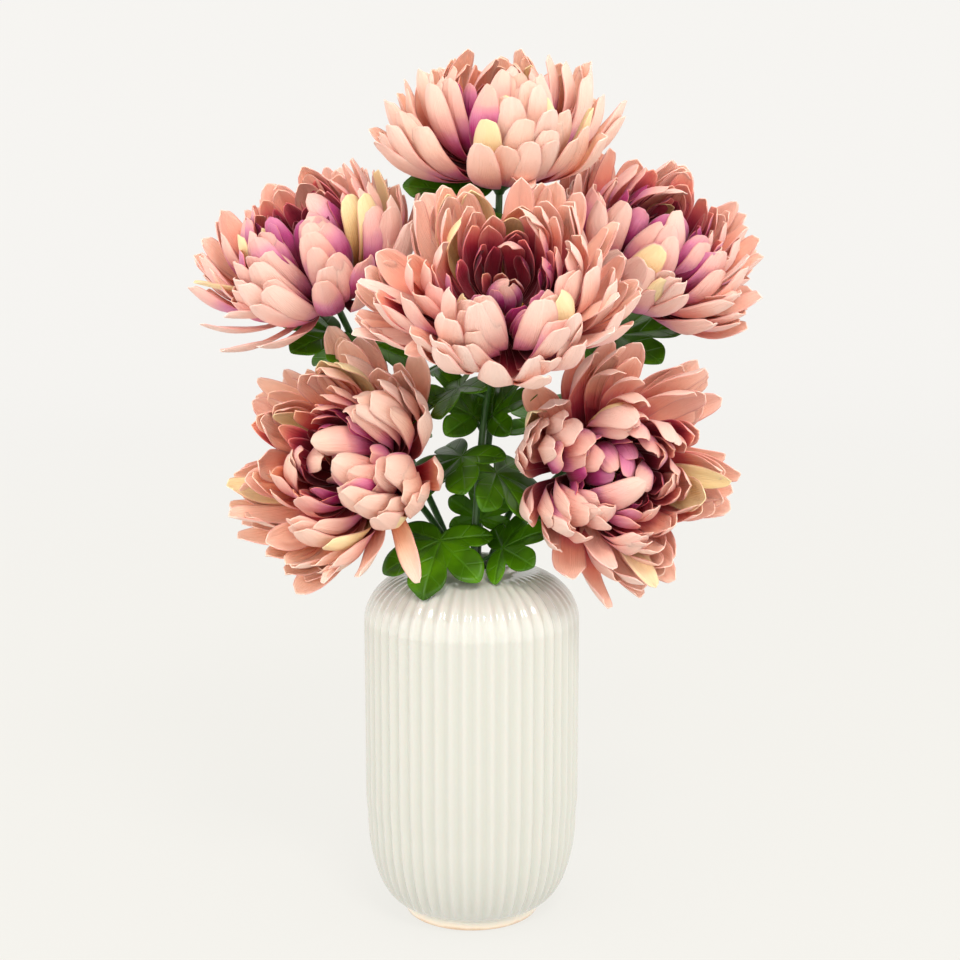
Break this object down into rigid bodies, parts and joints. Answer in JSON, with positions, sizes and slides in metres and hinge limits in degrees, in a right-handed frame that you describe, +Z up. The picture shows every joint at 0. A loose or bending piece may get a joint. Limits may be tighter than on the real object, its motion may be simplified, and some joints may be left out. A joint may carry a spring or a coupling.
{
  "type": "artificial chrysanthemums in a ribbed vase",
  "caption": "Bunch of incurved peach-pink artificial chrysanthemums on leafy green stems in a tall, glossy white vase with upright ribs and a narrow mouth.",
  "frame": {"origin": "centre of the vase's flat foot, on the surface that it stands on", "axes": "+Z up along the vase's axis, -Y towards the front of the bunch, +X to its right"},
  "size_m": [0.3398, 0.2593, 0.5183],
  "materials": {
    "glaze": "glossy off-white glaze",
    "petals": "matt printed cloth, peach pink with wine-red bases",
    "stamens": "orange-yellow",
    "foliage": "coated cloth and plastic, deep green with a soft sheen"
  },
  "bodies": {
    "root": {"jar": "glaze", "bloom_top": "petals", "stamens_top": "stamens", "leafy_stem_top": "foliage", "bloom_left": "petals", "stamens_left": "stamens", "leafy_stem_left": "foliage", "bloom_middle": "petals", "stamens_middle": "stamens", "leafy_stem_middle": "foliage", "bloom_right": "petals", "stamens_right": "stamens", "leafy_stem_right": "foliage", "bloom_lower_left": "petals", "stamens_lower_left": "stamens", "leafy_stem_lower_left": "foliage", "bloom_lower_right": "petals", "stamens_lower_right": "stamens", "leafy_stem_lower_right": "foliage"}
  },
  "joints": []
}
